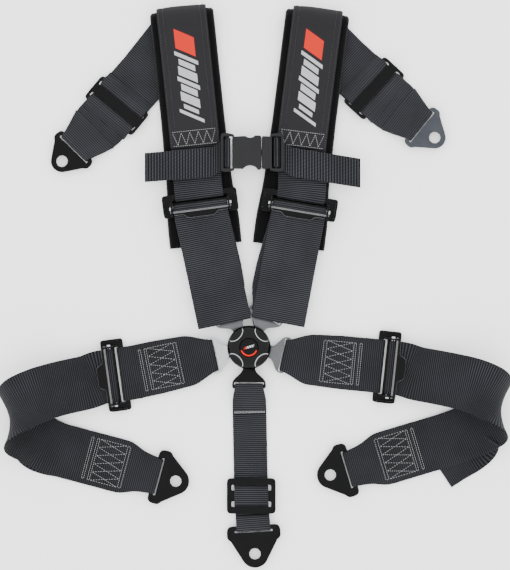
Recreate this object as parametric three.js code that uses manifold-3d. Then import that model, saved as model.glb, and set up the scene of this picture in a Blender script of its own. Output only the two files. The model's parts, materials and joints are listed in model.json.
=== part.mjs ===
// Five point racing harness with a rotary cam lock, laid out flat.
// Millimetres, +Z up. The harness lies on the plane z = 0, shoulder pads towards +Y, crotch strap towards
// -Y. Places below are measured from a point 86 mm above the lock; the whole is centred at the end.
import * as THREE from 'three';
import { mergeVertices } from 'three/addons/utils/BufferGeometryUtils.js';
import Module from 'manifold-3d';

const wasm = await Module();
wasm.setup();

// ---- driving dimensions -------------------------------------------------------------------------
const CLEAR = 0.4; // running gap between pieces
const WEB = 1.6; // webbing thickness
const WEB_WIDE = 76; // shoulder and lap webbing
const WEB_CROTCH = 48;
const WEB_CHEST = 41;
const LAYER_1 = 1.0; // centre height of webbing lying on the ground
const LAYER_2 = 3.0; // centre height of a second layer

const LOCK = [-8.5, -86.2]; // centre of the cam lock
const LOCK_R = 29.5;
const KNOB_R = 30.7;
const LUG_Z = 8.3; // mid height of the tongues in the lock
const LUG_T = 2.4;
const NECK = 17; // width of a tongue's neck
const TONGUE_BAR = 53.5; // lock centre to the webbing bar of a tongue
const CROTCH_BAR = 56;
const PIN_CIRCLE = 21; // latch pins stand on this circle

const BOLT_HOLE = 16.5;
const BAR_HALF = 3.2; // half depth of an anchor bracket's webbing bar
const PLATE = 3; // thickness of brackets and slides
const BRACKET_Z = 5.6; // mid height of an anchor bracket lying flat

const PAD_T = 8;
const PAD_LENGTH = 333;
const CURL_R = 10; // radius of the rolled top end of a pad

// ---- finishes ------------------------------------------------------------------------------------
const FINISH = {
  webbing: { color: 0x2c2e35, roughness: 0.85, metalness: 0 },
  padCloth: { color: 0x18181a, roughness: 0.95, metalness: 0 },
  panelCloth: { color: 0x36363a, roughness: 0.7, metalness: 0 },
  blackSteel: { color: 0x1c1d1f, roughness: 0.4, metalness: 0.6 },
  tongueSteel: { color: 0x585a5c, roughness: 0.35, metalness: 0.9 },
  chrome: { color: 0xd0d2d4, roughness: 0.12, metalness: 1 },
  buckle: { color: 0x404042, roughness: 0.55, metalness: 0 },
  gloss: { color: 0x101012, roughness: 0.15, metalness: 0 },
  badge: { color: 0x0c0c0e, roughness: 0.08, metalness: 0 },
};

const harness = new THREE.Group();

function add(parent, name, geometry, finish) {
  const piece = new THREE.Mesh(geometry, new THREE.MeshStandardMaterial(FINISH[finish]));
  piece.name = name;
  parent.add(piece);
  return piece;
}

function place(parent, x, y, z, degrees) {
  const group = new THREE.Group();
  group.position.set(x, y, z);
  group.rotation.z = THREE.MathUtils.degToRad(degrees);
  parent.add(group);
  return group;
}

// ---- joining and cutting -------------------------------------------------------------------------
function solid(geometry) {
  const bare = geometry.index ? geometry.toNonIndexed() : geometry.clone();
  bare.deleteAttribute('normal');
  bare.deleteAttribute('uv');
  const merged = mergeVertices(bare, 1e-4);
  return new wasm.Manifold(new wasm.Mesh({
    numProp: 3,
    vertProperties: new Float32Array(merged.attributes.position.array),
    triVerts: new Uint32Array(merged.index.array),
  }));
}

function geometryOf(body) {
  const mesh = body.getMesh();
  const geometry = new THREE.BufferGeometry();
  geometry.setAttribute('position', new THREE.BufferAttribute(mesh.vertProperties, 3));
  geometry.setIndex(new THREE.BufferAttribute(mesh.triVerts, 1));
  return geometry;
}

function join(...parts) {
  return parts.map((part) => solid(part)).reduce((sum, part) => sum.add(part));
}

function cut(body, ...tools) {
  return tools.reduce((rest, tool) => rest.subtract(solid(tool)), body);
}

function box(x0, x1, y0, y1, z0, z1) {
  return new THREE.BoxGeometry(x1 - x0, y1 - y0, z1 - z0)
    .translate((x0 + x1) / 2, (y0 + y1) / 2, (z0 + z1) / 2);
}

function rodAcross(x, z, radius, y0, y1, sides = 16) {
  return new THREE.CylinderGeometry(radius, radius, y1 - y0, sides).translate(x, (y0 + y1) / 2, z);
}

function post(x, y, radius, z0, z1, sides = 16) {
  return new THREE.CylinderGeometry(radius, radius, z1 - z0, sides)
    .rotateX(Math.PI / 2).translate(x, y, (z0 + z1) / 2);
}

// ---- outlines ------------------------------------------------------------------------------------
// A closed outline through the corners, each given as [x, y, corner radius].
function rounded(corners, Outline = THREE.Shape) {
  const outline = new Outline();
  corners.forEach(([x, y, radius], i) => {
    const corner = new THREE.Vector2(x, y);
    const [before, after] = [corners.at(i - 1), corners[(i + 1) % corners.length]]
      .map(([px, py]) => new THREE.Vector2(px, py).sub(corner))
      .map((leg) => leg.setLength(Math.min(radius, 0.49 * leg.length())).add(corner));
    if (i === 0) outline.moveTo(before.x, before.y);
    else outline.lineTo(before.x, before.y);
    outline.quadraticCurveTo(x, y, after.x, after.y);
  });
  outline.closePath();
  return outline;
}

function rectangle(x0, x1, halfWidth, radius, Outline) {
  return rounded([
    [x0, -halfWidth, radius], [x1, -halfWidth, radius], [x1, halfWidth, radius], [x0, halfWidth, radius],
  ], Outline);
}

function circle(x, y, radius) {
  return new THREE.Path().absarc(x, y, radius, 0, 2 * Math.PI, true);
}

function plate(outline, z0, z1, curveSegments = 3) {
  return new THREE.ExtrudeGeometry(outline, { depth: z1 - z0, bevelEnabled: false, curveSegments })
    .translate(0, 0, z0);
}

// ---- webbing -------------------------------------------------------------------------------------
// A flat band is carried along stations [x, y, z, width, heading, skewed]. Its width lies square to the
// path and as near as it can to the horizontal line across the station's heading, in degrees; a skewed
// station keeps that line as it is.
function framesOf(stations) {
  const centres = stations.map(([x, y, z]) => new THREE.Vector3(x, y, z));
  const legs = centres.slice(1).map((point, i) => point.clone().sub(centres[i]).normalize());
  return stations.map(([, , , width, heading = 0, skewed = false], i) => {
    const before = legs[Math.max(i - 1, 0)];
    const along = before.clone().add(legs[Math.min(i, legs.length - 1)]).normalize();
    const turn = THREE.MathUtils.degToRad(heading);
    const across = new THREE.Vector3(-Math.sin(turn), Math.cos(turn), 0);
    if (!skewed) across.addScaledVector(along, -across.dot(along)).normalize();
    const up = along.clone().cross(across).normalize();
    const mitre = Math.min(1 / along.dot(before), 1.3);
    return { centre: centres[i], across, up, half: width / 2, mitre };
  });
}

// A seventh number in a station is the height below which neither edge of the band may reach.
function band(stations, thickness = WEB) {
  const corners = framesOf(stations).flatMap(({ centre, across, up, half, mitre }, i) => {
    const four = [[-1, -1], [1, -1], [1, 1], [-1, 1]].map(([side, face]) => centre.clone()
      .addScaledVector(across, side * half).addScaledVector(up, face * mitre * thickness / 2));
    const floor = stations[i][6] ?? -Infinity;
    for (const [a, b] of [[0, 3], [1, 2]]) {
      const sunk = Math.max(floor - Math.min(four[a].z, four[b].z), 0);
      four[a].z += sunk;
      four[b].z += sunk;
    }
    return four;
  });
  const last = 4 * (stations.length - 1);
  const faces = [0, 2, 1, 0, 3, 2];
  for (let i = 0; i < last; i += 4) {
    for (let k = 0; k < 4; k += 1) {
      const [a, b] = [i + k, i + ((k + 1) % 4)];
      // the upper and lower face are split along the same diagonal, so a twisted band keeps its thickness
      if (k === 2) faces.push(a, b, a + 4, b, b + 4, a + 4);
      else faces.push(a, b + 4, a + 4, a, b, b + 4);
    }
  }
  faces.push(last, last + 1, last + 2, last, last + 2, last + 3);
  const geometry = new THREE.BufferGeometry().setFromPoints(corners);
  geometry.setIndex(faces);
  return geometry;
}

// The same stations carried to one side of the band.
function lifted(stations, lift) {
  return framesOf(stations).map(({ centre, up }, i) =>
    [...centre.clone().addScaledVector(up, lift).toArray(), ...stations[i].slice(3)]);
}

function onCircle(radius, degrees) {
  const angle = THREE.MathUtils.degToRad(degrees);
  return [radius * Math.cos(angle), radius * Math.sin(angle)];
}

// Points [x, z] on an arc about (x, z), in degrees from +x towards +z.
function arc(x, z, radius, from, to, steps = 8) {
  return Array.from({ length: steps + 1 }, (_, i) => {
    const angle = THREE.MathUtils.degToRad(from + ((to - from) * i) / steps);
    return [x + radius * Math.cos(angle), z + radius * Math.sin(angle)];
  });
}

// Side profile points [x, z] become stations; width and sideways place are functions of x.
function route(profile, width, sideways = () => 0, skewed = false) {
  return profile.map(([x, z]) => [x, sideways(x), z, width(x), 0, skewed]);
}

// Stations round a bar at [x, y, z], square to the direction turn, from one angle to another.
function aroundBar([x, y, z], turn, radius, from, to, width, steps = 8) {
  const angle = THREE.MathUtils.degToRad(turn);
  return arc(0, z, radius, from, to, steps).map(([a, height]) =>
    [x + a * Math.cos(angle), y + a * Math.sin(angle), height, width, turn]);
}

function smooth(stations, steps) {
  const curve = new THREE.CatmullRomCurve3(stations.map(([x, y, z]) => new THREE.Vector3(x, y, z)));
  const spans = stations.length - 1;
  return Array.from({ length: steps + 1 }, (_, i) => {
    const t = (i / steps) * spans;
    const k = Math.min(Math.floor(t), spans - 1);
    const point = curve.getPoint(i / steps);
    const blend = (index) => THREE.MathUtils.lerp(stations[k][index], stations[k + 1][index], t - k);
    return [point.x, point.y, point.z, blend(3), blend(4)];
  });
}

function ramp(x0, value0, x1, value1) {
  return (x) => THREE.MathUtils.mapLinear(THREE.MathUtils.clamp(x, Math.min(x0, x1), Math.max(x0, x1)),
    x0, x1, value0, value1);
}

// ---- anchor bracket: bar at the origin, bolt hole towards +x -------------------------------------
function bracket({ width, slot, hole, tip, ear }) {
  const half = width / 2;
  const reach = Math.hypot(ear - hole, half);
  const tangent = Math.atan2(half, ear - hole) - Math.acos(tip / reach);
  const outline = new THREE.Shape();
  outline.moveTo(-BAR_HALF, -half + 8);
  outline.quadraticCurveTo(-BAR_HALF, -half, 6, -half);
  outline.lineTo(ear - 4, -half);
  outline.quadraticCurveTo(ear, -half, ear + 3, -half + 5);
  outline.absarc(hole, 0, tip, -tangent, tangent, false);
  outline.lineTo(ear + 3, half - 5);
  outline.quadraticCurveTo(ear, half, ear - 4, half);
  outline.lineTo(6, half);
  outline.quadraticCurveTo(-BAR_HALF, half, -BAR_HALF, half - 8);
  outline.closePath();
  outline.holes.push(rectangle(BAR_HALF, BAR_HALF + 3.2, slot / 2, 1.2, THREE.Path));
  outline.holes.push(circle(hole, 0, BOLT_HOLE / 2));
  return plate(outline, -PLATE / 2, PLATE / 2, 5);
}

const BRACKET_TURN = BAR_HALF + 1.5; // centre radius of webbing round a bracket's bar

// ---- three bar slide: plate lying over the strap -------------------------------------------------
const SLIDE_LOW = 4.6;
const SLIDE_HIGH = SLIDE_LOW + PLATE;

function slidePlate(width, length, outerBar, centreBar, slot) {
  const outline = rectangle(-length / 2, length / 2, width / 2, 6);
  for (const side of [-1, 1]) {
    const ends = [side * (centreBar / 2), side * (length / 2 - outerBar)].sort((a, b) => a - b);
    outline.holes.push(rectangle(ends[0], ends[1], slot / 2, 2, THREE.Path));
  }
  return plate(outline, SLIDE_LOW, SLIDE_HIGH);
}

function mirroredProfile(half) {
  return [...half, ...half.slice(0, -1).reverse().map(([x, z]) => [-x, z])];
}

// ---- strap adjuster: grip bar across the origin, belt leaving towards +x, sewn webbing at -x ------
const GRIP = { x: 2, z: 7.4, radius: 3 };
const PIVOT = { x: 7.4, z: 14.3, radius: 1.6 };
const ROLL = GRIP.radius + 0.35 + WEB / 2; // centre radius of the webbing round the grip bar
const CHEEK_IN = 39.3;
const CHEEK_OUT = 41.5;
const SEWN_HIGH = 3.4; // webbing above and below the frame's rear bar
const SEWN_LOW = -1.2;

function adjusterFrame(halfWidth) {
  const base = rounded([
    [-18, -halfWidth, 4], [14, -halfWidth, 4], [14, halfWidth, 4], [-18, halfWidth, 4],
  ]);
  base.holes.push(rectangle(-10.8, -5.2, 39, 1, THREE.Path));
  const cheek = rounded([[-9, 0, 0.5], [13, 0, 0.5], [13, 17.4, 4], [3, 17.4, 3], [-9, 10.5, 4]]);
  const parts = [plate(base, 0, 2.2)];
  for (const side of [-1, 1]) {
    const middle = side * (CHEEK_IN + CHEEK_OUT) / 2;
    const thickness = CHEEK_OUT - CHEEK_IN;
    parts.push(new THREE.ExtrudeGeometry(cheek, { depth: thickness, bevelEnabled: false, curveSegments: 2 })
      .translate(0, 0, -thickness / 2).rotateX(Math.PI / 2).translate(0, middle, 0));
    const lip = [halfWidth - 3, halfWidth].map((y) => side * y).sort((a, b) => a - b);
    parts.push(box(-12, 9, lip[0], lip[1], 1, 7));
  }
  return geometryOf(cut(
    join(...parts),
    rodAcross(GRIP.x, GRIP.z, GRIP.radius + CLEAR, -45, 45, 12),
    rodAcross(PIVOT.x, PIVOT.z, PIVOT.radius + CLEAR, -45, 45, 10),
  ));
}

function gripBar() {
  return rodAcross(GRIP.x, GRIP.z, GRIP.radius, -44, 44, 12);
}

function lever(tabHalf, tabReach, shoulderX) {
  const outline = rounded([
    [PIVOT.x - 0.8, -38, 0.4], [shoulderX, -38, 2], [shoulderX, -tabHalf, 2], [tabReach, -tabHalf + 5, 3],
    [tabReach, tabHalf - 5, 3], [shoulderX, tabHalf, 2], [shoulderX, 38, 2], [PIVOT.x - 0.8, 38, 0.4],
  ]);
  return geometryOf(join(
    plate(outline, PIVOT.z - 1, PIVOT.z + 1),
    rodAcross(PIVOT.x, PIVOT.z, PIVOT.radius, -43, 43, 10),
  ));
}

// Webbing sewn round the frame's rear bar; far is the distance the sewn end reaches back.
function sewnTurn(z0, farTop, farLow) {
  return [
    ...farTop, [-22, SEWN_HIGH + z0], [-11, SEWN_HIGH + z0], ...arc(-10.2, 1.1 + z0, 2.3, 70, -70, 6),
    [-11, SEWN_LOW + z0], [-22, SEWN_LOW + z0], ...farLow,
  ];
}

function grip(z0) {
  return arc(GRIP.x, GRIP.z + z0, ROLL, 270, 90, 8);
}

// ---- tongues -------------------------------------------------------------------------------------
function tongue(bar, halfWidth, slotHalf) {
  const inner = 16;
  const outer = bar + 2.7;
  const outline = rounded([
    [inner, -NECK / 2, 2.5], [34, -NECK / 2, 5], [bar - 8, -halfWidth, 6], [outer, -halfWidth, 4],
    [outer, halfWidth, 4], [bar - 8, halfWidth, 6], [34, NECK / 2, 5], [inner, NECK / 2, 2.5],
  ]);
  outline.holes.push(rectangle(bar - 6, bar - 2.7, slotHalf, 1.4, THREE.Path));
  outline.holes.push(circle(PIN_CIRCLE, 0, 3.2));
  return plate(outline, LUG_Z - LUG_T / 2, LUG_Z + LUG_T / 2);
}

const LUG_TURN = 4.3; // centre radius of webbing round a tongue's bar
const LUG_WEB = 45; // webbing gathered in a tongue's slot
const LUG_LEAD = 20; // webbing stays square to its tongue for this far

// The bar of a tongue seen from a strap's own frame. The result gives stations on the webbing that comes
// from it: square to the tongue at first, then straight towards the point end of the strap.
function tongueLead(slotAngle, bar, { x, y, heading }, end) {
  const [barX, barY] = onCircle(bar, slotAngle);
  const place = new THREE.Vector2(LOCK[0] + barX - x, LOCK[1] + barY - y)
    .rotateAround(new THREE.Vector2(), -THREE.MathUtils.degToRad(heading));
  const out = slotAngle - heading;
  const direction = new THREE.Vector2(...onCircle(1, out));
  const turn = out > 90 ? out - 180 : out;
  const knee = place.clone().addScaledVector(direction, LUG_LEAD);
  const rest = new THREE.Vector2(...end).sub(knee);
  const width = ramp(34, WEB_WIDE, 8, LUG_WEB);
  const station = (distance, z) => {
    const point = distance <= LUG_LEAD ? place.clone().addScaledVector(direction, distance)
      : knee.clone().addScaledVector(rest, (distance - LUG_LEAD) / rest.length());
    return [point.x, point.y, z, width(distance), distance < LUG_LEAD ? turn : 0];
  };
  const loop = arc(0, LUG_Z, LUG_TURN, 280, 80, 8).map(([a, z]) => station(a, z));
  return { station, loop };
}

// ==== cam lock =====================================================================================
const lock = place(harness, LOCK[0], LOCK[1], 0, 0);
const LOCK_SLOTS = { right_lap: 347, right_shoulder: 62, left_shoulder: 120, left_lap: 193, crotch: 270 };
const { crotch: CROTCH_ANGLE, ...FREE_SLOTS } = LOCK_SLOTS;
const PIN_ANGLES = Object.values(FREE_SLOTS);
const SCREW_ANGLES = [25, 155, 230, 310];
const SCREW_CIRCLE = 24.5;

function lockBackCover() {
  const holes = SCREW_ANGLES.flatMap((angle) => {
    const [x, y] = onCircle(SCREW_CIRCLE, angle);
    return [post(x, y, 3.4, -1, 1.9, 10), post(x, y, 1.9, -1, 4, 10)];
  });
  return geometryOf(cut(solid(post(0, 0, LOCK_R, 0, 2.6, 32)), ...holes));
}

function lockHousing() {
  const slots = Object.values(LOCK_SLOTS).map((angle) =>
    box(9, 40, -NECK / 2 - 0.5, NECK / 2 + 0.5, LUG_Z - 1.7, LUG_Z + 1.7)
      .rotateZ(THREE.MathUtils.degToRad(angle)));
  const screws = SCREW_ANGLES.map((angle) => post(...onCircle(SCREW_CIRCLE, angle), 1.8, 1, 9.5, 8));
  const pins = PIN_ANGLES.map((angle) => post(...onCircle(PIN_CIRCLE, angle), 3.0, 8, 17, 12));
  const well = post(0, 0, 6, 5, 17, 16);
  return geometryOf(cut(solid(post(0, 0, LOCK_R, 3, 15.5, 32)), ...slots, ...screws, ...pins, well));
}

function screw(angle) {
  const [x, y] = onCircle(SCREW_CIRCLE, angle);
  return geometryOf(join(post(x, y, 3, 0.3, 1.5, 10), post(x, y, 1.4, 1.2, 9, 8)));
}

// Four latch pins hang from one lifting ring under the knob.
function latchPins() {
  const pins = PIN_ANGLES.map((angle) =>
    post(...onCircle(PIN_CIRCLE, angle), 2.6, LUG_Z + LUG_T / 2 + CLEAR, 16.5, 10));
  const ring = cut(
    solid(post(0, 0, PIN_CIRCLE + 4, 16.1, 17.4, 28)), post(0, 0, PIN_CIRCLE - 4, 15, 19, 28),
  );
  return geometryOf(pins.reduce((sum, pin) => sum.add(solid(pin)), ring));
}

// Knob: a domed cup over the housing with four oval finger scallops between its lobes.
function rotaryKnob() {
  const dome = [
    [13.6, 26.0], [18, 25.9], [23, 25.0], [27, 23.0], [29.6, 20.2], [KNOB_R, 17.4], [KNOB_R, 15.9], [26, 15.9],
    [26, 20.3], [9, 20.3], [9, 15.9], [4.2, 15.9], [4.2, 23.6], [13.6, 23.6],
  ];
  const profile = [...dome, dome[0]].map(([radius, z]) => new THREE.Vector2(radius, z));
  const cup = solid(new THREE.LatheGeometry(profile.reverse(), 36).rotateX(Math.PI / 2));
  const scallops = [45, 135, 225, 315].map((angle) =>
    new THREE.SphereGeometry(1, 16, 10).scale(7.5, 12.5, 6)
      .translate(27.5, 0, 27.6).rotateZ(THREE.MathUtils.degToRad(angle)));
  return geometryOf(cut(cup, ...scallops));
}

function lathe(points, segments = 28) {
  const profile = points.map(([radius, z]) => new THREE.Vector2(radius, z));
  return new THREE.LatheGeometry(profile, segments).rotateX(Math.PI / 2);
}

add(lock, 'lock_back_cover', lockBackCover(), 'blackSteel');
add(lock, 'lock_housing', lockHousing(), 'blackSteel');
SCREW_ANGLES.forEach((angle, i) => add(lock, `housing_screw_${i + 1}`, screw(angle), 'chrome'));
add(lock, 'rotary_knob', rotaryKnob(), 'gloss');
add(lock, 'knob_badge', lathe([[0, 24], [12.8, 24], [12.8, 25.6], [9, 26.4], [0, 26.8]]), 'badge');
add(lock, 'knob_spindle', post(0, 0, 3.8, 5.6, 23.2, 14), 'chrome');
add(lock, 'latch_pins', latchPins(), 'chrome');

class Coil extends THREE.Curve {
  getPoint(t, target = new THREE.Vector3()) {
    const angle = 2 * Math.PI * 2.5 * t;
    return target.set(5 * Math.cos(angle), 5 * Math.sin(angle), 7 + 6.5 * t);
  }
}
add(lock, 'knob_return_spring', new THREE.ExtrudeGeometry(new THREE.Shape().absarc(0, 0, 0.45, 0, 2 * Math.PI), {
  steps: 30, curveSegments: 2, bevelEnabled: false, extrudePath: new Coil(),
}), 'chrome');

for (const [name, finish] of [['right_lap', 'tongueSteel'], ['right_shoulder', 'tongueSteel'],
  ['left_shoulder', 'tongueSteel'], ['left_lap', 'chrome']]) {
  const slot = place(lock, 0, 0, 0, LOCK_SLOTS[name]);
  add(slot, `${name}_tongue`, tongue(TONGUE_BAR, 26, 23.4), finish);
}
add(place(lock, 0, 0, 0, CROTCH_ANGLE), 'crotch_lug', tongue(CROTCH_BAR, 24, 21), 'blackSteel');

// ==== crotch strap =================================================================================
const CROTCH = { x: -5.3, y: -297, heading: 270 }; // centre of the crotch slide
const crotch = place(harness, CROTCH.x, CROTCH.y, 0, CROTCH.heading);
const CROTCH_LUG_X = CROTCH.y - (LOCK[1] - CROTCH_BAR); // bar of the lug, seen from the slide
const CROTCH_BRACKET = { x: 45, y: 3, turn: 3.5 };

function crotchStrap() {
  const lugY = CROTCH.x - LOCK[0];
  const width = ramp(CROTCH_LUG_X + 4, 40, CROTCH_LUG_X + 12, WEB_CROTCH);
  const drift = ramp(CROTCH_LUG_X, -lugY, -30, -0.7);
  const bracketAt = [CROTCH_BRACKET.x, CROTCH_BRACKET.y, BRACKET_Z];
  return band([
    ...route([
      [CROTCH_LUG_X + 38.7, LAYER_2 + 0.3], [CROTCH_LUG_X + 26, LAYER_2 + 1.5],
      ...arc(CROTCH_LUG_X, LUG_Z, LUG_TURN, 72, 288, 8),
      [CROTCH_LUG_X + 18, LAYER_1 + 1.2], [CROTCH_LUG_X + 30, LAYER_1], [-30, LAYER_1],
    ], width, drift),
    [0, 0, LAYER_1, WEB_CROTCH], [18, 1, LAYER_1, WEB_CROTCH],
    ...aroundBar(bracketAt, CROTCH_BRACKET.turn, BRACKET_TURN, -98, 106, WEB_CROTCH),
    [29, 1.8, 5.6, WEB_CROTCH],
  ]);
}

const crotchTurn = mirroredProfile([
  [-20, 2.9], [-15.5, 2.9], [-12.6, 3.9], [-11.6, 5.9], [-10.5, 8], [-8, 8.9], [0, 9.3],
]);
add(crotch, 'crotch_strap', crotchStrap(), 'webbing');
add(crotch, 'crotch_slide', slidePlate(69, 50, 9.2, 15, 56), 'blackSteel');
add(crotch, 'crotch_slide_webbing', band(route(crotchTurn, () => WEB_CROTCH)), 'webbing');
add(place(crotch, CROTCH_BRACKET.x, CROTCH_BRACKET.y, BRACKET_Z, CROTCH_BRACKET.turn), 'crotch_bracket',
  bracket({ width: 76, slot: 54, hole: 37, tip: 19.5, ear: 15 }), 'blackSteel');

// ==== shoulder straps ==============================================================================
const SHOULDERS = {
  left: {
    side: 1, x: -77, y: 115, heading: -82.5, pad: { y: 1.5, turn: -1.6 }, tailLength: 171.4, tailTurn: 4.1,
    slide: { x: -195.4, y: 255.2, heading: 227.3, turn: 3, padEnd: -126 },
  },
  right: {
    side: -1, x: 62.5, y: 112, heading: -99.5, pad: { y: -8, turn: 2.4 }, tailLength: 166, tailTurn: -1.0,
    slide: { x: 168.4, y: 279.6, heading: 319, turn: -1.7, padEnd: -112 },
  },
};
const PAD_TOP = PAD_LENGTH - 60 - CURL_R; // adjuster centre to the start of the curl
const FRAME_Z = 12.2; // adjuster frame above the pad

// Arc at the rolled upper end of a pad, at a distance from the middle of the pad's sheet.
function curl(distance, to, steps = 5) {
  return arc(-PAD_TOP, 17.2 - CURL_R, CURL_R + distance, 85, to, steps);
}

function shoulder(name, spec) {
  const strap = place(harness, spec.x, spec.y, 0, spec.heading);
  const pad = place(strap, 0, spec.pad.y, 0, spec.pad.turn);
  add(pad, `${name}_pad_base`, band(route([
    [58, 4.4], [20, 4.6], [-30, 6.4], [-120, 7], [-215, 8.2], [-250, 12], ...curl(0, 195),
  ], ramp(-40, 90, 0, 102)), PAD_T), 'padCloth');
  add(pad, `${name}_pad_panel`, band(route([
    [-82, 15.1], [-120, 15.1], [-215, 16.6], [-248, 21.2], ...curl(8.4, 150, 4),
  ], () => 70), 2.4), 'panelCloth');

  const padLine = (x) => spec.pad.y + x * Math.tan(THREE.MathUtils.degToRad(spec.pad.turn));
  const intoPad = ramp(-26, 0, -90, padLine(-90));
  add(strap, `${name}_pad_webbing`, band(route(
    sewnTurn(FRAME_Z, [[-232, 16.0], [-215, 14.2], [-120, 12.7], [-90, 12.7], [-40, 12.9]], [[-28, 11.9]]),
    () => WEB_WIDE - 8, (x) => (x < -90 ? padLine(x) : intoPad(x)),
  )), 'webbing');

  add(strap, `${name}_adjuster_frame`, adjusterFrame(53).translate(0, 0, FRAME_Z), 'blackSteel');
  add(strap, `${name}_adjuster_grip_bar`, gripBar().translate(0, 0, FRAME_Z), 'chrome');
  add(strap, `${name}_adjuster_lever`, lever(24, 17.5, 12).translate(0, 0, FRAME_Z), 'blackSteel');

  // One length of webbing: folded end, tongue, up to the grip bar, and down again as the free tail.
  const { station, loop } = tongueLead(LOCK_SLOTS[`${name}_shoulder`], TONGUE_BAR, spec, [18, 0]);
  const tailSlope = Math.tan(THREE.MathUtils.degToRad(spec.tailTurn));
  const tailLine = (x) => Math.max(x - 18, 0) * tailSlope * (spec.tailLength / (spec.tailLength - 18));
  add(strap, `${name}_belt`, band([
    station(68, 3.4), station(30, 4.2), ...loop, station(30, 7.4), station(72, 7.4), station(112, 11),
    ...route([[18, FRAME_Z + 3.25], ...grip(FRAME_Z)], () => WEB_WIDE),
    ...route([
      [GRIP.x + 5, FRAME_Z + GRIP.z + ROLL - 0.1], [20, FRAME_Z + 9.6], [40, FRAME_Z + 5.4], [70, 14.6],
      [100, 12.4], [130, 14.6], [spec.tailLength, 15.8],
    ], () => WEB_WIDE, tailLine),
  ]), 'webbing');
}

// Anchor strap of a shoulder: out from under the pad, through its slide, round the bracket's bar and back.
const ANCHOR_BAR = 82;
const slideTurn = mirroredProfile([
  [-31, 3.0], [-25, 4.8], [-22.4, 7.4], [-20.3, 8.9], [-12.4, 8.9], [-10.9, 8.2], [-10.3, 7], [-10.2, 5.3],
  [-9.4, 4.1], [-7.6, 3.5], [0, 3.4],
]);

function anchor(name, { side, slide }) {
  const strap = place(harness, slide.x, slide.y, 0, slide.heading);
  const bow = (x) => -6 * side * (x / 120) ** 2;
  const width = (x) => ramp(ANCHOR_BAR - 34, WEB_WIDE, ANCHOR_BAR - 6, 50)(x);
  const barAt = [ANCHOR_BAR, bow(ANCHOR_BAR), BRACKET_Z];
  const turn = -2 * side;
  add(strap, `${name}_anchor_strap`, band([
    ...route([
      [slide.padEnd, LAYER_1], [-60, LAYER_1], [0, LAYER_1], [40, LAYER_1], [ANCHOR_BAR - 26, LAYER_1],
    ], width, bow),
    ...aroundBar(barAt, turn, BRACKET_TURN, -98, 98, 50),
    ...route([[ANCHOR_BAR - 26, 4.6], [45, LAYER_2 + 0.3]], width, bow),
  ]), 'webbing');
  const threaded = place(strap, 0, 0, 0, slide.turn);
  add(threaded, `${name}_slide`, slidePlate(87, 41, 7, 14, 79), 'blackSteel');
  add(threaded, `${name}_slide_webbing`, band(route(slideTurn, () => WEB_WIDE)), 'webbing');
  add(place(strap, barAt[0], barAt[1], BRACKET_Z, turn), `${name}_shoulder_bracket`,
    bracket({ width: 66, slot: 54, hole: 28.5, tip: 15.5, ear: 12 }), side > 0 ? 'blackSteel' : 'tongueSteel');
}

for (const [name, spec] of Object.entries(SHOULDERS)) {
  shoulder(name, spec);
  anchor(name, spec);
}

// ==== chest strap and side release buckle ==========================================================
const BUCKLE = { x: -4, y: 187, z: 17.2 };
const buckle = place(harness, BUCKLE.x, BUCKLE.y, BUCKLE.z, 0);
const BUCKLE_T = 11;
const RING_LOW = 4.3; // underside of the webbing rings at both ends
const RING_BAR = { x: 34, z: 7.4, radius: 2 };

// Webbing ring at one end of the buckle, reaching from inner to the outer edge; side is -1 or 1.
function buckleRing(side) {
  const outline = rounded([
    [25, -25, 2], [36, -27.5, 4], [44, -26.5, 5], [44, 26.5, 5], [36, 27.5, 4], [25, 25, 2],
  ]);
  outline.holes.push(rectangle(27.6, 40.6, 22.6, 2, THREE.Path));
  const ring = plate(outline, RING_LOW, BUCKLE_T);
  const bar = rodAcross(RING_BAR.x, RING_BAR.z, RING_BAR.radius, -24, 24, 14);
  return join(ring, bar).rotate([0, 0, side > 0 ? 0 : 180]);
}

function femaleHalf() {
  const body = rounded([[-28, -22, 3], [13, -24, 4], [13, 24, 4], [-28, 22, 3]]);
  return geometryOf(cut(
    solid(plate(body, 0, BUCKLE_T)).add(buckleRing(-1)),
    box(-21, 20, -19, 19, 2.2, BUCKLE_T - 2.2),
    box(-14, 3, -40, 40, 2.2, BUCKLE_T - 2.2),
    post(-3, -30, 12.5, -2, 20, 32),
    post(-3, 30, 9.5, -2, 20, 32),
    box(-40.6, -27.6, -22.6, 22.6, -1, RING_LOW + 0.2),
  ));
}

function maleHalf() {
  const stem = rounded([[13.4, -23, 3], [26.5, -22, 1], [26.5, 22, 1], [13.4, 23, 3]]);
  return geometryOf(join(plate(stem, 0, BUCKLE_T), box(-17, 14, -4, 4, 3.4, BUCKLE_T - 3.4)).add(buckleRing(1)));
}

function prong(side) {
  const outline = rounded([
    [13, 9 * side, 1], [13, 15 * side, 1], [-2, 18 * side, 3], [-16, 16 * side, 3], [-15, 11 * side, 2],
    [0, 12.5 * side, 2],
  ]);
  return plate(outline, 3.4, BUCKLE_T - 3.4);
}

add(buckle, 'chest_buckle_female', femaleHalf(), 'buckle');
add(buckle, 'chest_buckle_male', maleHalf(), 'buckle');
add(buckle, 'chest_buckle_prong_upper', prong(1), 'buckle');
add(buckle, 'chest_buckle_prong_lower', prong(-1), 'buckle');

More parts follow.
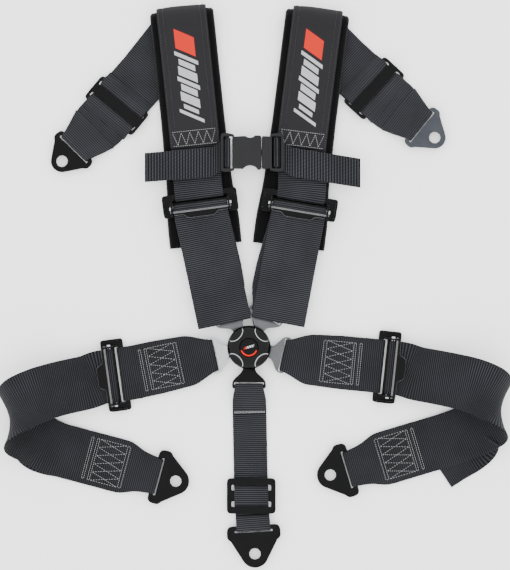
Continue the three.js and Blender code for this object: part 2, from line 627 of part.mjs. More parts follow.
// The tail lies on top, turns over the ring's bar and comes back below as the sewn layer. It reaches the
// buckle below the ring's middle, so it is skewed up to the bar.
function chestStrap(side, tailX, tailY, sewnX) {
  const low = 0.4;
  const high = 2.3;
  const ringX = RING_BAR.x;
  const step = -13;
  const profile = [
    [tailX, high], [ringX + 22, high], [ringX + 8, high], [ringX + 5, high + 0.4], [ringX + 3.4, high + 2.4],
    ...arc(ringX, RING_BAR.z, RING_BAR.radius + 1.1, 0, 180, 8),
    [ringX - 2.8, 3.6], [ringX - 0.8, 1.2], [ringX + 2.5, low], [ringX + 22, low], [sewnX, low],
  ];
  const slope = (step - tailY) / (ringX + 22 - tailX);
  const rise = ramp(ringX + 22, step, ringX + 3, 0);
  const sideways = (x) => side * (x >= ringX + 22 ? tailY + (x - tailX) * slope : rise(x));
  return band(route(profile, () => WEB_CHEST, sideways, true));
}

add(place(buckle, 0, 0, 0, 180), 'left_chest_strap', chestStrap(-1, 150.8, -20.6, 96), 'webbing');
add(buckle, 'right_chest_strap', chestStrap(1, 152, -28.5, 96), 'webbing');

// ==== lap belts ====================================================================================
const LAPS = {
  left: { side: 1, x: -199.2, y: -126.4, heading: 187.8, reach: -14 },
  right: { side: -1, x: 188.9, y: -114.9, heading: 354, reach: -4 },
};
const LAP_FRAME_Z = 2.4;
const LAP_BAR = { x: -38.7, y: 148.8, heading: -22.7 }; // bracket bar, seen from the adjuster
const SEWN_END = 104; // bracket bar to the end of the webbing folded under the belt
const TAIL_LIFT = 2.1; // the free tail lies on the outer side of the belt

// Stations on the straight lower run, at a distance from the bracket's bar.
function lowerRun(distance, z, width = WEB_WIDE) {
  const angle = THREE.MathUtils.degToRad(LAP_BAR.heading);
  return [
    LAP_BAR.x + distance * Math.cos(angle), LAP_BAR.y + distance * Math.sin(angle), z, width, LAP_BAR.heading,
  ];
}

// The belt's loop at its outer end; reach carries it further out.
function outerLoop(reach) {
  return [
    [116 + reach / 2, 83.5, 4.2, WEB_WIDE, -20], [139 + reach, 70, 11.3, WEB_WIDE, -12],
    [155 + reach, 57, 21, WEB_WIDE, -5], [161 + reach, 42, 33, WEB_WIDE, 0], [156 + reach, 28, 43, WEB_WIDE, 0],
    [142 + reach, 18, 49, WEB_WIDE, 0], [120 + reach, 11, 46, WEB_WIDE, 0], [95 + reach / 2, 8, 35, WEB_WIDE, 0],
    [66, 6, 21, WEB_WIDE, 0],
  ];
}

function mirror(stations, side) {
  return stations.map(([x, y, z, width, heading, skewed, floor]) =>
    [x, side * y, z, width, side * heading, skewed, floor]);
}

const FLOOR_GAP = 0.2; // between the lowest webbing and the surface it lies on

// Stations whose edges stay over a floor height.
const above = (floor, stations) => stations.map((station) => [...station, false, floor]);

// One length of webbing: folded end, bracket bar, lower run, loop, grip bar, and the tail back round outside.
function lapBelt(side, reach, end) {
  const turn = arc(0, BRACKET_Z, BRACKET_TURN, 278, 82, 8).map(([d, z]) => lowerRun(d, z, 50));
  const run = smooth([
    lowerRun(141, 3.1), ...outerLoop(reach), [38, 4, 9.5, WEB_WIDE, 0], [18, 0, 5.9, WEB_WIDE, 0],
  ], 24);
  const roll = grip(LAP_FRAME_Z).map(([x, z]) => [x, 0, z, WEB_WIDE, 0]);
  const tail = lifted(smooth([
    [GRIP.x + 5, 0, 11.8, WEB_WIDE, 0], [20, 0, 11.6, WEB_WIDE, 0], [38, 4, 12.6, WEB_WIDE, 0],
    ...outerLoop(reach).slice(1).reverse(), ...end,
  ], 26), TAIL_LIFT);
  return band(mirror([
    lowerRun(SEWN_END, LAYER_1), lowerRun(44, LAYER_1), lowerRun(24, LAYER_1, 58), ...turn,
    lowerRun(24, 5.4, 58), lowerRun(44, 3.3), lowerRun(SEWN_END, 3.1),
    ...above(TAIL_LIFT + FLOOR_GAP, run), ...roll, ...above(FLOOR_GAP, tail),
  ], side));
}

const TAIL_ENDS = {
  left: [[114, 86, 3.3, WEB_WIDE, -20], lowerRun(132, 3.1), lowerRun(109, 3.1)],
  right: [[128, 95, 3.5, WEB_WIDE, -32], [102, 116, 3.1, WEB_WIDE, -38], [83.4, 131, 3.1, WEB_WIDE, -39]],
};

function lap(name, { side, x, y, heading, reach }) {
  const belt = place(harness, x, y, 0, heading);
  add(belt, `${name}_lap_adjuster_frame`, adjusterFrame(51).translate(0, 0, LAP_FRAME_Z), 'blackSteel');
  add(belt, `${name}_lap_adjuster_grip_bar`, gripBar().translate(0, 0, LAP_FRAME_Z), 'chrome');
  add(belt, `${name}_lap_adjuster_lever`, lever(19, 22.5, 13).translate(0, 0, LAP_FRAME_Z), 'blackSteel');

  const { station, loop } = tongueLead(LOCK_SLOTS[`${name}_lap`], TONGUE_BAR, { x, y, heading }, [-24, 0]);
  add(belt, `${name}_lap_connector`, band([
    station(80, 2.9), station(30, 5.0), ...loop, station(30, 7.4), station(80, 5.2),
    ...route(sewnTurn(LAP_FRAME_Z, [], [[-36, 1.2]]), () => WEB_WIDE),
  ]), 'webbing');

  add(belt, `${name}_lap_belt`, lapBelt(side, reach, TAIL_ENDS[name]), 'webbing');
  add(place(belt, LAP_BAR.x, side * LAP_BAR.y, BRACKET_Z, 180 + side * LAP_BAR.heading), `${name}_lap_bracket`,
    bracket({ width: 77, slot: 54, hole: 29.5, tip: 19, ear: 14 }), side > 0 ? 'blackSteel' : 'tongueSteel');
}

for (const [name, spec] of Object.entries(LAPS)) lap(name, spec);

// The origin lies on the ground under the middle of the harness.
const reachOfAll = new THREE.Box3().setFromObject(harness, true);
const middle = reachOfAll.getCenter(new THREE.Vector3());
harness.position.set(-middle.x, -middle.y, -reachOfAll.min.z);

export default harness;
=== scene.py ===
"""Looks of a five point racing harness laid out flat: woven straps, padded shoulders, coated hardware."""
import json
import math

import bmesh
import bpy
import numpy as np
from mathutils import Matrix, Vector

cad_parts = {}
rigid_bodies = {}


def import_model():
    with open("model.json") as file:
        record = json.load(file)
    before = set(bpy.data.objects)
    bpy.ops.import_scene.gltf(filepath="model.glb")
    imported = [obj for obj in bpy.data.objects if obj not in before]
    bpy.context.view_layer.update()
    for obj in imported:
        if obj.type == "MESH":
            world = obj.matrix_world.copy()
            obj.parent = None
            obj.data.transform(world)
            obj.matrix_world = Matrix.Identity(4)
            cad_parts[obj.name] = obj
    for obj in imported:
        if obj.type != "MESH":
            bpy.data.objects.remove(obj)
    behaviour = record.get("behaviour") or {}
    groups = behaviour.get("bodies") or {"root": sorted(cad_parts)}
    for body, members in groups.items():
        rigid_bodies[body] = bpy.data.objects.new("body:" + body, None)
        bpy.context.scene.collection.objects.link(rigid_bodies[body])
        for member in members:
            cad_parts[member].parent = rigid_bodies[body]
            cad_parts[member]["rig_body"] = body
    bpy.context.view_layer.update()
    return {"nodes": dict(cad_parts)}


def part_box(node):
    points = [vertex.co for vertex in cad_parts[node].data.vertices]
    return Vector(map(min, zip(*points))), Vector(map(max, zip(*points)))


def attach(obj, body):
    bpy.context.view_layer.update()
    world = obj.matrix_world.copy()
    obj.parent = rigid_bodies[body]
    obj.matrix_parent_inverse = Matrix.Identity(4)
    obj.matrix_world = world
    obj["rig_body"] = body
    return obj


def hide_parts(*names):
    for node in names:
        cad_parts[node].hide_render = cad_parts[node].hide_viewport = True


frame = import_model()

MM = 0.001
LOCK = (-8.5, -86.2)  # lock centre in the straps' first layout, before the whole was centred
low, high = (np.array(c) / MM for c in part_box("lock_back_cover"))
SHIFT = np.array([(low[0] + high[0]) / 2 - LOCK[0], (low[1] + high[1]) / 2 - LOCK[1], low[2]])

WEB = 1.6  # webbing thickness
WIDE, CROTCH_WIDE, CHEST_WIDE = 76.0, 48.0, 41.0
BRACKET_Z, BRACKET_TURN = 5.6, 4.7  # height of a bracket's bar, and radius of the webbing's centre round it
STITCH_LIFT = 1.15  # thread centre over the webbing's centre
NO_FLOOR = -1000.0  # a height no band reaches


# ---- places and paths ------------------------------------------------------------------------------
def place(x, y, z, degrees, parent=None):
    """A 4 by 4 place: turned about Z by degrees, then moved to (x, y, z), inside its parent place."""
    a = math.radians(degrees)
    c, s = math.cos(a), math.sin(a)
    own = np.array([[c, -s, 0, x], [s, c, 0, y], [0, 0, 1, z], [0, 0, 0, 1.0]])
    return own if parent is None else parent @ own


BASE = place(*SHIFT, 0)


def put(at, points):
    """Points of a place carried into the row frame, in millimetres."""
    points = np.asarray(points, float)
    return points @ at[:3, :3].T + at[:3, 3]


def on_circle(radius, degrees):
    a = math.radians(degrees)
    return radius * math.cos(a), radius * math.sin(a)


def arc(x, z, radius, start, end, steps=10):
    return [(x + on_circle(radius, start + (end - start) * i / steps)[0],
             z + on_circle(radius, start + (end - start) * i / steps)[1]) for i in range(steps + 1)]


def ramp(x0, v0, x1, v1):
    return lambda x: float(np.interp(x, [min(x0, x1), max(x0, x1)], [v0, v1] if x0 < x1 else [v1, v0]))


def route(profile, width, sideways=lambda x: 0.0, skewed=False):
    return [(x, sideways(x), z, width(x), 0.0, skewed) for x, z in profile]


def around_bar(bar, turn, radius, start, end, width, steps=12):
    c, s = on_circle(1, turn)
    return [(bar[0] + a * c, bar[1] + a * s, z, width, turn)
            for a, z in arc(0, bar[2], radius, start, end, steps)]


def smooth(stations, steps):
    """A curve through every station: each coordinate follows a cubic whose slope at a station is the chord
    between its neighbours, over the square root of the distance between stations."""
    pts = np.array([s[:5] for s in stations], float)
    gap = np.sqrt(np.linalg.norm(np.diff(pts[:, :3], axis=0), axis=1))
    t = np.concatenate([[0], np.cumsum(gap)])
    slope = np.gradient(pts, t, axis=0)
    want = np.linspace(0, t[-1], steps + 1)
    k = np.clip(np.searchsorted(t, want, side="right") - 1, 0, len(t) - 2)
    h = (t[k + 1] - t[k])[:, None]
    f = ((want - t[k])[:, None]) / h
    out = ((2 * f**3 - 3 * f**2 + 1) * pts[k] + (f**3 - 2 * f**2 + f) * h * slope[k]
           + (-2 * f**3 + 3 * f**2) * pts[k + 1] + (f**3 - f**2) * h * slope[k + 1])
    return [tuple(row) for row in out]


def soften(values, passes):
    """Each inner row becomes a quarter of its two neighbours and a half of itself, several times over."""
    for _ in range(passes):
        values = np.vstack([values[:1], (values[:-2] + 2 * values[1:-1] + values[2:]) / 4, values[-1:]])
    return values


class Strap:
    """A flat band along stations (x, y, z, width, heading, skewed, floor). It keeps, for samples along its
    length, the centre, the unit line across, the unit line out of its upper face, half the width, and the
    height that its edges stay over."""

    def __init__(self, stations, at, step=1.6, passes=2, lift=0.0, flip=False):
        full = [tuple(s) + (0.0, False, NO_FLOOR)[len(s) - 4:] for s in stations]
        centre = np.array([s[:3] for s in full], float)
        half = np.array([s[3] for s in full], float) / 2
        leg = np.diff(centre, axis=0)
        length = np.linalg.norm(leg, axis=1)
        unit = leg / length[:, None]
        along = np.vstack([unit[:1], unit[:-1] + unit[1:], unit[-1:]])
        along /= np.linalg.norm(along, axis=1)[:, None]
        turn = np.radians([s[4] for s in full])
        across = np.stack([-np.sin(turn), np.cos(turn), 0 * turn], 1)
        flat = across - along * np.sum(across * along, 1)[:, None]
        across = np.where(np.array([bool(s[5]) for s in full])[:, None], across, flat)
        across /= np.linalg.norm(across, axis=1)[:, None]
        self.marks = np.concatenate([[0], np.cumsum(length)])
        n = max(int(self.marks[-1] / step), 8)
        self.s = np.linspace(0, self.marks[-1], n + 1)
        pick = lambda rows: np.stack([np.interp(self.s, self.marks, rows[:, i]) for i in range(3)], 1)
        self.centre = soften(pick(centre), passes)
        side = soften(pick(across), passes)
        forward = np.gradient(self.centre, axis=0)
        up = np.cross(forward, side) * (-1 if flip else 1)
        up /= np.linalg.norm(up, axis=1)[:, None]
        side /= np.linalg.norm(side, axis=1)[:, None]
        self.centre = put(at, self.centre + up * lift)
        self.side, self.up = side @ at[:3, :3].T, up @ at[:3, :3].T
        self.floor = np.interp(self.s, self.marks, [s[6] for s in full]) + SHIFT[2]
        self.half = soften(np.interp(self.s, self.marks, half)[:, None], 18)[:, 0]
        self.length = float(self.marks[-1])

    def point(self, s, u, lift):
        """Points at lengths s, u millimetres across from the middle, lifted out of the centre sheet."""
        s, u, lift = np.broadcast_arrays(np.asarray(s, float), u, lift)
        at = lambda rows: np.stack([np.interp(s, self.s, rows[:, i]) for i in range(3)], -1)
        spot = at(self.centre) + at(self.side) * u[..., None]
        sunk = np.interp(s, self.s, self.floor) + WEB / 2 - spot[..., 2]
        spot[..., 2] += np.maximum(sunk, 0)
        return spot + at(self.up) * lift[..., None]

    def width(self):
        return float(2 * self.half.max())


# ---- meshes ----------------------------------------------------------------------------------------
def new_object(name, points, faces, uv=None, smooth_shade=True):
    """A mesh object at the origin from points in millimetres; uv has one row per point, in metres."""
    mesh = bpy.data.meshes.new(name)
    mesh.from_pydata((np.asarray(points) * MM).tolist(), [], faces)
    if uv is not None:
        layer = mesh.uv_layers.new(name="UVMap")
        index = np.zeros(len(mesh.loops), int)
        mesh.loops.foreach_get("vertex_index", index)
        layer.data.foreach_set("uv", np.asarray(uv, np.float32)[index].ravel())
    mesh.polygons.foreach_set("use_smooth", [smooth_shade] * len(mesh.polygons))
    bm = bmesh.new()
    bm.from_mesh(mesh)
    bmesh.ops.recalc_face_normals(bm, faces=bm.faces)
    bm.to_mesh(mesh)
    bm.free()
    obj = bpy.data.objects.new(name, mesh)
    bpy.context.scene.collection.objects.link(obj)
    return obj


def tube(name, rings, uv=None):
    """Closed skin over rings (n, k, 3): neighbouring rings are joined by quads and both ends are capped."""
    n, k = rings.shape[:2]
    i, j = np.meshgrid(np.arange(n - 1), np.arange(k), indexing="ij")
    a, b = i * k + j, i * k + (j + 1) % k
    faces = np.stack([a, b, b + k, a + k], -1).reshape(-1, 4).tolist()
    faces += [list(range(k))[::-1], list(range((n - 1) * k, n * k))]
    return new_object(name, rings.reshape(-1, 3), faces, None if uv is None else uv.reshape(-1, 2))


def finish_piece(obj, body, material, replaced=()):
    obj.data.materials.clear()
    for m in material if isinstance(material, (list, tuple)) else [material]:
        obj.data.materials.append(m)
    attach(obj, body)
    if replaced:
        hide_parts(*replaced)
    return obj


ACROSS = np.array([-1, -0.992, -0.97, -0.93, -0.7, -0.4, 0, 0.4, 0.7, 0.93, 0.97, 0.992, 1])
THICK = np.array([0, 0.62, 0.95, 1.04, 1, 1, 1, 1, 1, 1.04, 0.95, 0.62, 0])


def weave_strap(name, strap, body, material, replaced, thickness=WEB, thin_ends=False):
    """The band's skin. Across, the half thickness is full over the middle, a little fuller beside the
    selvedge and rounds to nothing at the edge; along, it keeps the strap's own centre line."""
    u = np.concatenate([ACROSS, ACROSS[-2:0:-1]])
    t = np.concatenate([THICK, -THICK[-2:0:-1]]) * thickness / 2
    s = strap.s[:, None]
    taper = np.clip(np.minimum(s, strap.length - s) / 9, 0.25, 1) if thin_ends else 1.0
    rings = strap.point(np.broadcast_to(s, (len(strap.s), len(u))), strap.half[:, None] * u, t * taper)
    uv = np.stack(np.broadcast_arrays(strap.half[:, None] * u * MM, s * MM), -1)
    obj = finish_piece(tube(name, rings, uv), body, material, replaced)
    area = float(np.sum((strap.half[1:] + strap.half[:-1]) * np.diff(strap.s))) * MM * MM
    flat = (strap.width() * MM, strap.length * MM)
    return obj


def stitches(name, paths, body, material, pitch=3.3, length=2.5, radius=0.42):
    """Thread: along each path of points, one spindle per stitch with six sides, fat in its middle."""
    turn = np.arange(6) * math.pi / 3
    points, faces = [], []
    for path in paths:
        path = np.asarray(path, float)
        d = np.concatenate([[0], np.cumsum(np.linalg.norm(np.diff(path, axis=0), axis=1))])
        count = max(int(d[-1] / pitch), 1)
        middle = (np.arange(count) + 0.5) * d[-1] / count
        ends = [np.stack([np.interp(middle + e * length / 2, d, path[:, i]) for i in range(3)], 1)
                for e in (-1, 1)]
        for p, q in zip(*ends):
            axis = (q - p) / max(np.linalg.norm(q - p), 1e-6)
            one = np.cross(axis, [0, 0, 1.0])
            one = one / max(np.linalg.norm(one), 1e-6)
            two = np.cross(one, axis)
            ring = radius * (np.cos(turn)[:, None] * one + np.sin(turn)[:, None] * two)
            base = len(points)
            points += [p, *(p + 0.3 * (q - p) + ring), *(p + 0.7 * (q - p) + ring), q]
            for k in range(6):
                j = (k + 1) % 6
                faces += [[base, base + 1 + j, base + 1 + k],
                          [base + 1 + k, base + 1 + j, base + 7 + j, base + 7 + k],
                          [base + 13, base + 7 + k, base + 7 + j]]
    return finish_piece(new_object(name, points, faces), body, material)


# ---- materials -------------------------------------------------------------------------------------
class Val:
    """A number in a material's nodes. Arithmetic on it adds Math nodes."""

    def __init__(self, paint, socket):
        self.paint, self.socket = paint, socket

    def op(self, kind, *others):
        node = self.paint.tree.nodes.new("ShaderNodeMath")
        node.operation = kind
        for i, v in enumerate((self, *others)):
            self.paint.feed(node.inputs[i], v)
        return Val(self.paint, node.outputs[0])

    def wrap(self, v):
        return v if isinstance(v, Val) else self.paint.number(v)

    def __add__(self, o): return self.op("ADD", o)
    def __sub__(self, o): return self.op("SUBTRACT", o)
    def __mul__(self, o): return self.op("MULTIPLY", o)
    def __truediv__(self, o): return self.op("DIVIDE", o)
    def __rsub__(self, o): return self.wrap(o).op("SUBTRACT", self)
    __radd__, __rmul__ = __add__, __mul__

    def over(self, o): return self.op("GREATER_THAN", o)
    def under(self, o): return self.op("LESS_THAN", o)
    def frac(self): return self.op("FRACT")
    def power(self, o): return self.op("POWER", o)
    def wave(self, period): return self.__mul__(2 * math.pi / period).op("COSINE") * 0.5 + 0.5
    def size(self): return self.op("ABSOLUTE")


class Paint:
    """One procedural material built round a single Principled shader."""

    def __init__(self, name, **fixed):
        self.mat = bpy.data.materials.new(name)
        self.mat.use_nodes = True
        self.tree = self.mat.node_tree
        self.bsdf = next(n for n in self.tree.nodes if n.type == "BSDF_PRINCIPLED")
        for key, value in fixed.items():
            self.feed(self.bsdf.inputs[key.replace("_", " ")], value)
        spot = self.tree.nodes.new("ShaderNodeTexCoord")
        self.place = spot.outputs["Object"]
        self.uv = spot.outputs["UV"]

    def feed(self, socket, value):
        if isinstance(value, Val):
            value = value.socket
        if isinstance(value, bpy.types.NodeSocket):
            self.tree.links.new(value, socket)
        elif isinstance(value, (tuple, list)):
            socket.default_value = (*value, 1.0)[: len(socket.default_value)]
        else:
            socket.default_value = value

    def number(self, v):
        node = self.tree.nodes.new("ShaderNodeValue")
        node.outputs[0].default_value = v
        return Val(self, node.outputs[0])

    def split(self, vector):
        node = self.tree.nodes.new("ShaderNodeSeparateXYZ")
        self.feed(node.inputs[0], vector)
        return [Val(self, o) for o in node.outputs]

    def noise(self, scale, detail=3.0, stretch=(1, 1, 1), vector=None):
        grow = self.tree.nodes.new("ShaderNodeVectorMath")
        grow.operation = "MULTIPLY"
        self.feed(grow.inputs[0], vector or self.place)
        grow.inputs[1].default_value = stretch
        node = self.tree.nodes.new("ShaderNodeTexNoise")
        self.feed(node.inputs["Vector"], grow.outputs[0])
        node.inputs["Scale"].default_value = scale
        node.inputs["Detail"].default_value = detail
        return Val(self, node.outputs[0])

    def mix(self, factor, a, b):
        node = self.tree.nodes.new("ShaderNodeMix")
        node.data_type = "RGBA"
        self.feed(node.inputs[0], factor)
        self.feed(node.inputs[6], a)
        self.feed(node.inputs[7], b)
        return node.outputs[2]

    def color(self, value):
        self.feed(self.bsdf.inputs["Base Color"], value)

    def rough(self, value):
        self.feed(self.bsdf.inputs["Roughness"], value)

    def bump(self, height, distance, strength=1.0):
        node = self.tree.nodes.new("ShaderNodeBump")
        self.feed(node.inputs["Height"], height)
        node.inputs["Distance"].default_value = distance
        node.inputs["Strength"].default_value = strength
        self.feed(self.bsdf.inputs["Normal"], node.outputs[0])


def webbing(name, dark, light, rib=0.0028, column=0.0024):
    """Ribbed webbing: ribs run across the strap and fine warp columns break each into short floats; the
    colour is painted lighter on the rib crests and floats and darker between them, a painted highlight and
    painted shade, and slow noise fades that painted light."""
    p = Paint(name, Sheen_Weight=0.03, Specular_IOR_Level=0.12)
    u, v, _ = p.split(p.uv)
    drift = p.noise(9, 2.0)
    row = (v + drift * (rib * 0.5)).wave(rib)
    bulge = (u + v * 0.5).wave(column)
    fibre, worn = p.noise(2300, 2.0), p.noise(20, 4.0)
    # painted highlight on the rib crests and bulging floats, painted shade between them; fibre noise and slow
    # noise vary it at random
    painted_rib_light = row.power(1.5) * (bulge * 0.35 + 0.65) * (fibre * 0.8 + 0.45) * (worn * 1.1 + 0.3)
    p.color(p.mix(painted_rib_light.op("MINIMUM", 1.0), dark, light))
    p.rough(0.84 - row * 0.14 + fibre * 0.06)
    p.bump(row * (bulge * 0.3 + 0.7) + fibre * 0.2, 0.0006, 0.9)
    return p.mat


WEBBING = webbing("webbing_grey_black", (0.0014, 0.0015, 0.0020), (0.046, 0.047, 0.056))
LAP_WEBBING = webbing("webbing_lap", (0.0012, 0.0012, 0.0017), (0.031, 0.032, 0.039))
CHEST_WEBBING = webbing("webbing_chest", (0.0013, 0.0013, 0.0018), (0.037, 0.039, 0.047), 0.0040, 0.0050)


def velour():
    """Short brushed pile: dense fine noise, softly clouded, with a sheen."""
    p = Paint("pad_velour", Sheen_Weight=0.05, Sheen_Roughness=0.5, Specular_IOR_Level=0.06)
    pile, cloud = p.noise(1900, 3.0), p.noise(38, 4.0)
    p.color(p.mix(pile * 0.5 + cloud * 0.5, (0.0003, 0.0003, 0.0004), (0.0030, 0.0030, 0.0034)))
    p.rough(0.88 + pile * 0.1)
    p.bump(pile + cloud * 1.6, 0.0009, 0.8)
    return p.mat


def bars(p, u, v, middle, half_long, half_wide, slant):
    """Mask of one slanted bar about (0, middle)."""
    shift = v - middle - u * slant
    return shift.size().under(half_long) * u.size().under(half_wide)


def panel_nylon():
    """Smooth woven nylon with a plain slanted-bar graphic printed along its middle."""
    p = Paint("pad_nylon", Sheen_Weight=0.02, Specular_IOR_Level=0.16)
    u, v, _ = p.split(p.uv)
    weave = u.wave(0.0011) * v.wave(0.0011) + (u + 0.00055).wave(0.0011) * (v + 0.00055).wave(0.0011)
    cloud, fold = p.noise(30, 4.0), p.noise(15, 2.0, (1, 0.5, 1))
    cloth = p.mix(weave * 0.45 + cloud * 0.55, (0.0032, 0.0031, 0.0038), (0.0105, 0.0103, 0.0125))
    red = bars(p, u, v, 0.1460, 0.0135, 0.0135, 0.55)
    white = bars(p, u, v, 0.1245, 0.0028, 0.0160, 0.55)
    for middle, long, wide in ((0.1145, 0.0040, 0.0110), (0.1015, 0.0062, 0.0128), (0.0890, 0.0030, 0.0150),
                               (0.0790, 0.0045, 0.0110), (0.0655, 0.0062, 0.0128), (0.0525, 0.0030, 0.0100),
                               (0.0430, 0.0024, 0.0165)):
        white = white + bars(p, u, v, middle, long, wide, 0.55)
    inked = p.mix(white.op("MINIMUM", 1.0), p.mix(red, cloth, (0.42, 0.012, 0.005)), (0.30, 0.30, 0.31))
    p.color(inked)
    p.rough(0.66 + cloud * 0.14)
    p.bump(weave * 0.12 + fold * 3.0, 0.0012, 0.55)
    return p.mat


def metal(name, dark, light, roughness, metallic, bump=0.00006, **fixed):
    """Metal or coating: brushed streaks and a slow cloud vary colour and shine."""
    p = Paint(name, Metallic=metallic, **fixed)
    streak, cloud = p.noise(420, 3.0, (1, 0.15, 1)), p.noise(55, 4.0)
    p.color(p.mix(streak * 0.4 + cloud * 0.6, dark, light))
    p.rough(roughness + streak * 0.10 + cloud * 0.08)
    p.bump(streak * 0.6 + p.noise(900, 2.0) * 0.6, bump, 0.5)
    return p.mat


BLACK = metal("black_coat", (0.0006, 0.0006, 0.0008), (0.0022, 0.0022, 0.0026), 0.25, 0.0,
              Specular_IOR_Level=0.07)
EDGE = metal("worn_edge", (0.07, 0.07, 0.073), (0.24, 0.24, 0.25), 0.14, 1.0)
DULL_EDGE = metal("dull_edge", (0.005, 0.005, 0.0055), (0.020, 0.020, 0.022), 0.26, 0.6)
STEEL = metal("grey_steel", (0.050, 0.052, 0.054), (0.100, 0.103, 0.110), 0.24, 1.0)
# a lighter metal copy of the black coat, for the right shoulder bracket only: painted light
BRACKET_PAINTED_LIGHT = metal("right_bracket_painted_light", (0.018, 0.020, 0.025), (0.050, 0.053, 0.062), 0.24, 0.9)
CHROME = metal("chrome_steel", (0.20, 0.205, 0.215), (0.46, 0.47, 0.485), 0.09, 1.0)
PLASTIC = metal("buckle_plastic", (0.0040, 0.0040, 0.0045), (0.0105, 0.0105, 0.0115), 0.40, 0.0, 0.00012,
                Specular_IOR_Level=0.14)
GLOSS = metal("knob_gloss", (0.0005, 0.0005, 0.0006), (0.0014, 0.0014, 0.0016), 0.07, 0.0, 0.00002,
              Specular_IOR_Level=0.12)


def thread(name, dark, light):
    p = Paint(name, Sheen_Weight=0.1)
    twist, cloud = p.noise(1500, 2.0), p.noise(90, 2.0)
    p.color(p.mix(twist * 0.5 + cloud * 0.5, dark, light))
    p.rough(0.7 + twist * 0.2)
    p.bump(twist, 0.0002, 0.6)
    return p.mat


WHITE_THREAD = thread("white_thread", (0.12, 0.12, 0.125), (0.27, 0.27, 0.28))
DARK_THREAD = thread("dark_thread", (0.0015, 0.0015, 0.0020), (0.0050, 0.0050, 0.0060))
VELOUR, NYLON = velour(), panel_nylon()


def badge_face():
    """Domed badge: black with a row of short slanted bars, the first red, and a red band on its lower rim."""
    p = Paint("badge_face", Specular_IOR_Level=0.08)
    x, y, _ = p.split(p.place)
    cx, cy = ((np.array(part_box("knob_badge")[0]) + np.array(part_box("knob_badge")[1])) / 2)[:2]
    x, y = x - float(cx), y - float(cy)
    far = (x * x + y * y).power(0.5)
    cloud = p.noise(300, 3.0)
    ring = (far - 0.0113).size().under(0.0011) * (y + 0.0040).under(0.0)
    gaps = ((x + y * 0.6) / 0.0036).frac().over(0.32)
    bar = (y - x * 0.3 - 0.0008).size().under(0.0016) * x.size().under(0.0072) * gaps
    tip = bar * (x + 0.0036).under(0.0)
    ground = p.mix(cloud, (0.0008, 0.0008, 0.0010), (0.0020, 0.0020, 0.0024))
    p.color(p.mix(ring + tip, p.mix(bar, ground, (0.36, 0.36, 0.37)), (0.42, 0.012, 0.005)))
    p.rough(0.10 + cloud * 0.06)
    p.bump(cloud, 0.00003, 0.4)
    return p.mat


# ---- hardware --------------------------------------------------------------------------------------
def dress(node, material, edge=None, bevel=0.55, angle=30, name=None):
    """A merged and bevelled copy of a CAD node stands for it; its bevels can take an edge material."""
    source = frame["nodes"][node]
    obj = bpy.data.objects.new(name or node + "_look", source.data.copy())
    bpy.context.scene.collection.objects.link(obj)
    bm = bmesh.new()
    bm.from_mesh(obj.data)
    bmesh.ops.remove_doubles(bm, verts=bm.verts, dist=0.00002)
    bmesh.ops.dissolve_limit(bm, angle_limit=math.radians(1.0), verts=bm.verts, edges=bm.edges)
    for f in bm.faces:
        f.smooth = True
        f.material_index = 0
    bm.to_mesh(obj.data)
    bm.free()
    body = source["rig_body"]
    finish_piece(obj, body, [material, edge or material], [node])
    if bevel:
        mod = obj.modifiers.new("edges", "BEVEL")
        mod.width, mod.segments, mod.limit_method = bevel * MM, 2, "ANGLE"
        mod.angle_limit = math.radians(angle)
        mod.material = 1
        mod.harden_normals = True
    return obj


for side in ("left", "right"):
    dress(f"{side}_adjuster_frame", BLACK, EDGE, 0.45)
    dress(f"{side}_adjuster_grip_bar", CHROME, None, 0.3)
    dress(f"{side}_adjuster_lever", BLACK, EDGE, 0.45)
    dress(f"{side}_slide", BLACK, DULL_EDGE, 0.7)
    dress(f"{side}_lap_adjuster_frame", BLACK, EDGE, 0.45)
    dress(f"{side}_lap_adjuster_grip_bar", CHROME, None, 0.3)
    dress(f"{side}_lap_adjuster_lever", BLACK, EDGE, 0.45)
    dress(f"{side}_shoulder_tongue", STEEL, CHROME, 0.5)
    # The left lap tongue is the same part as the right, but its face takes the bright chrome and its bevels
    # the grey steel: a painted reflection on the left tongue.
    dress(f"{side}_lap_tongue",
          CHROME if side == "left" else STEEL, STEEL if side == "left" else CHROME, 0.8)
    # The right shoulder bracket is the same part as the left, but takes the lighter metal and the bright
    # edges: painted light on the right bracket.
    dress(f"{side}_shoulder_bracket",
          BLACK if side == "left" else BRACKET_PAINTED_LIGHT, DULL_EDGE if side == "left" else EDGE, 0.6)
    dress(f"{side}_lap_bracket",
          BLACK, DULL_EDGE, 0.6)
for node, edge in (("crotch_lug", EDGE), ("crotch_slide", DULL_EDGE), ("crotch_bracket", DULL_EDGE),
                   ("lock_back_cover", EDGE), ("lock_housing", EDGE)):
    dress(node, BLACK, edge, 0.5)
for i in range(1, 5):
    dress(f"housing_screw_{i}", CHROME, None, 0.25)
for node in ("knob_spindle", "latch_pins"):
    dress(node, CHROME, None, 0.2)
dress("knob_return_spring", CHROME, None, 0)
for node in ("female", "male", "prong_upper", "prong_lower"):
    dress(f"chest_buckle_{node}", PLASTIC, None, 0.8, 35)

# knob: rings round the axis; the height over each ring is the dome, cut down by four oval scallops
LOCK_AT = place(*LOCK, 0, 0, BASE)
DOME_R = [0, 4.2, 9, 13.6, 16, 20, 24, 27, 29, 30.1, 30.6]
DOME_Z = [25.4, 25.4, 25.5, 25.95, 26.05, 25.75, 24.8, 23.2, 21.2, 19.2, 17.6]
SCALLOPS = [45, 135, 225, 315]


def dome_height(r):
    return np.interp(r, DOME_R, DOME_Z)


